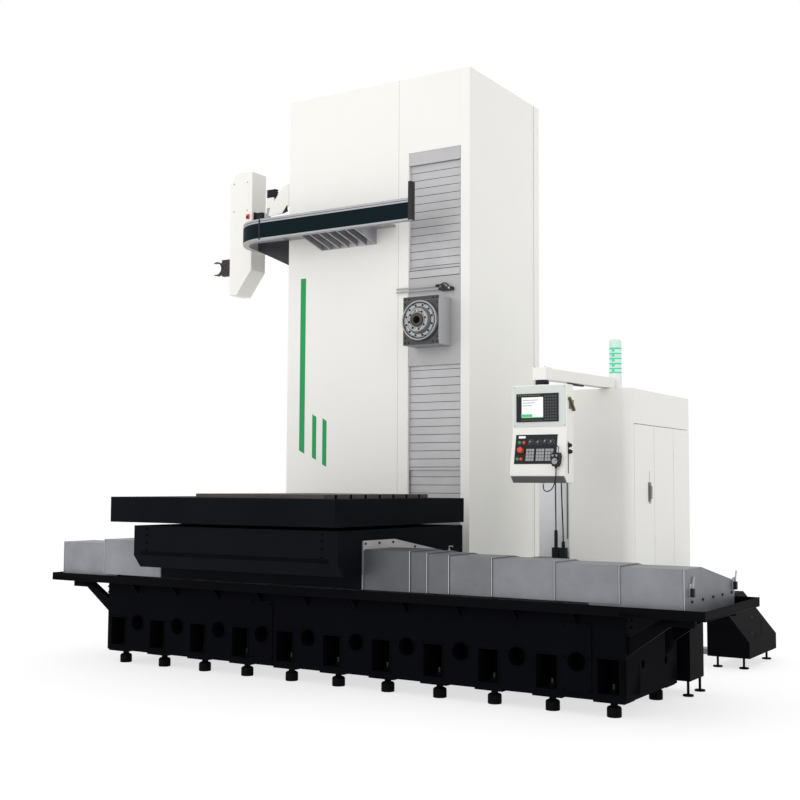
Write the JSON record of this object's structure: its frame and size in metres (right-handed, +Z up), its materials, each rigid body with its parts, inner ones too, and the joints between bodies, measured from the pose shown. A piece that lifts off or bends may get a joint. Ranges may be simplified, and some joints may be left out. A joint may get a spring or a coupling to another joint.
{
  "type": "horizontal boring mill",
  "caption": "Horizontal boring mill: a long bed with telescopic way covers and a rotary table, and a tall clad column whose headstock bores and mills the work in front of it.",
  "frame": {"origin": "on the floor under the middle of the whole machine's outline", "axes": "+X along the bed to the right as seen from the front, +Y to the column behind the bed, +Z up"},
  "size_m": [6.156, 4.26, 5.455],
  "materials": {
    "black_iron": "painted near black",
    "white_paint": "satin",
    "grey_paint": "satin",
    "cover_steel": "rolled",
    "slat_steel": "dull",
    "bare_steel": "machined",
    "black_plastic": "matt",
    "lens_plastic": "gloss"
  },
  "bodies": {
    "machine_base": {"bed_casting": "black_iron", "bed_side_front": "black_iron", "bed_side_back": "black_iron", "bed_ways": "black_iron", "levelling_feet": "bare_steel", "chip_trays": "black_iron", "chip_pans": "black_iron", "chip_conveyor": "black_iron", "floor_ducts": "grey_paint", "coolant_tank": "black_iron", "rear_bed": "black_iron", "column_casting": "black_iron", "column_front_covers": "white_paint", "column_left_cover": "white_paint", "column_right_cover": "white_paint", "column_back_cover": "white_paint", "column_top_cover": "white_paint", "apron_fixed": "slat_steel", "changer_rail": "black_iron", "changer_bracket": "white_paint", "changer_housing": "white_paint", "changer_gripper": "bare_steel", "cabinet_body": "white_paint", "light_tower": "lens_plastic", "service_cabinet": "grey_paint", "cable_connectors": "black_plastic", "hanging_cable_1": "black_plastic", "hanging_cable_2": "black_plastic", "way_cover_right_7": "cover_steel", "way_cover_left_5": "cover_steel"},
    "saddle_unit": {"saddle": "black_iron", "cover_flanges": "cover_steel", "way_cover_right_1": "cover_steel", "way_cover_left_1": "cover_steel"},
    "table": {"rotary_table": "black_iron"},
    "head": {"head_plate": "slat_steel", "headstock": "black_iron", "spindle_flange": "bare_steel", "coolant_pipes": "bare_steel", "apron_on_head": "slat_steel"},
    "apron_upper": {"apron_upper_mid": "slat_steel"},
    "apron_lower": {"apron_lower_mid": "slat_steel"},
    "milling": {"milling_spindle": "bare_steel"},
    "boring": {"boring_spindle": "bare_steel"},
    "arm": {"pendant_arm": "grey_paint"},
    "pendant": {"pendant_case": "white_paint", "handwheel_unit": "black_plastic", "handwheel_lead": "black_plastic"},
    "cover_right_2": {"way_cover_right_2": "cover_steel"},
    "cover_right_3": {"way_cover_right_3": "cover_steel"},
    "cover_right_4": {"way_cover_right_4": "cover_steel"},
    "cover_right_5": {"way_cover_right_5": "cover_steel"},
    "cover_right_6": {"way_cover_right_6": "cover_steel"},
    "cover_left_2": {"way_cover_left_2": "cover_steel"},
    "cover_left_3": {"way_cover_left_3": "cover_steel"},
    "cover_left_4": {"way_cover_left_4": "cover_steel"},
    "door_1": {"cabinet_door_1": "white_paint"},
    "door_2": {"cabinet_door_2": "white_paint"},
    "door_3": {"cabinet_door_3": "white_paint"}
  },
  "joints": [
    {"name": "table_travel", "type": "slide", "parent": "machine_base", "child": "saddle_unit", "axis": [1, 0, 0], "range_m": [-0.1, 1.7]},
    {"name": "table_turn", "type": "hinge", "parent": "saddle_unit", "child": "table", "pos_m": [-0.65353, -1.17, 1.23], "axis": [0, 0, 1], "continuous": true},
    {"name": "head_lift", "type": "slide", "parent": "machine_base", "child": "head", "axis": [0, 0, 1], "range_m": [-1.25, 0.6]},
    {"name": "apron_upper_slide", "type": "slide", "parent": "machine_base", "child": "apron_upper", "axis": [0, 0, 1], "range_m": [-0.63, 0.31]},
    {"name": "apron_lower_slide", "type": "slide", "parent": "machine_base", "child": "apron_lower", "axis": [0, 0, 1], "range_m": [-0.63, 0.31]},
    {"name": "spindle_turn", "type": "hinge", "parent": "head", "child": "milling", "pos_m": [-0.18203, 0.12, 3.06], "axis": [0, -1, 0], "continuous": true},
    {"name": "spindle_feed", "type": "slide", "parent": "milling", "child": "boring", "axis": [0, -1, 0], "range_m": [0, 0.65]},
    {"name": "pendant_swing", "type": "hinge", "parent": "machine_base", "child": "arm", "pos_m": [1.50797, 0.53, 2.392], "axis": [0, 0, 1], "range_deg": [-20, 60]},
    {"name": "pendant_swivel", "type": "hinge", "parent": "arm", "child": "pendant", "pos_m": [1.37097, -0.54, 2.386], "axis": [0, 0, 1], "range_deg": [-90, 90]},
    {"name": "cover_right_2_slide", "type": "slide", "parent": "machine_base", "child": "cover_right_2", "axis": [1, 0, 0], "range_m": [-0.101, 1.619]},
    {"name": "cover_right_3_slide", "type": "slide", "parent": "machine_base", "child": "cover_right_3", "axis": [1, 0, 0], "range_m": [-0.094, 1.5]},
    {"name": "cover_right_4_slide", "type": "slide", "parent": "machine_base", "child": "cover_right_4", "axis": [1, 0, 0], "range_m": [-0.077, 1.215]},
    {"name": "cover_right_5_slide", "type": "slide", "parent": "machine_base", "child": "cover_right_5", "axis": [1, 0, 0], "range_m": [-0.053, 0.796]},
    {"name": "cover_right_6_slide", "type": "slide", "parent": "machine_base", "child": "cover_right_6", "axis": [1, 0, 0], "range_m": [-0.029, 0.389]},
    {"name": "cover_left_2_slide", "type": "slide", "parent": "machine_base", "child": "cover_left_2", "axis": [1, 0, 0], "range_m": [-0.073, 1.145]},
    {"name": "cover_left_3_slide", "type": "slide", "parent": "machine_base", "child": "cover_left_3", "axis": [1, 0, 0], "range_m": [-0.041, 0.601]},
    {"name": "cover_left_4_slide", "type": "slide", "parent": "machine_base", "child": "cover_left_4", "axis": [1, 0, 0], "range_m": [-0.011, 0.091]},
    {"name": "door_1_hinge", "type": "hinge", "parent": "machine_base", "child": "door_1", "pos_m": [1.73797, 0.52, 1.072], "axis": [0, 0, -1], "range_deg": [0, 90]},
    {"name": "door_2_hinge", "type": "hinge", "parent": "machine_base", "child": "door_2", "pos_m": [1.73797, 1.007, 1.072], "axis": [0, 0, -1], "range_deg": [0, 60]},
    {"name": "door_3_hinge", "type": "hinge", "parent": "machine_base", "child": "door_3", "pos_m": [1.73797, 1.518, 1.072], "axis": [0, 0, -1], "range_deg": [0, 90]}
  ],
  "couplings": [
    {"joint": "cover_right_2_slide", "follows": "table_travel", "ratio": 0.949},
    {"joint": "cover_right_3_slide", "follows": "table_travel", "ratio": 0.879},
    {"joint": "cover_right_4_slide", "follows": "table_travel", "ratio": 0.711},
    {"joint": "cover_right_5_slide", "follows": "table_travel", "ratio": 0.465},
    {"joint": "cover_right_6_slide", "follows": "table_travel", "ratio": 0.225},
    {"joint": "cover_left_2_slide", "follows": "table_travel", "ratio": 0.67},
    {"joint": "cover_left_3_slide", "follows": "table_travel", "ratio": 0.35},
    {"joint": "cover_left_4_slide", "follows": "table_travel", "ratio": 0.05},
    {"joint": "apron_upper_slide", "follows": "head_lift", "ratio": 0.5},
    {"joint": "apron_lower_slide", "follows": "head_lift", "ratio": 0.5}
  ]
}
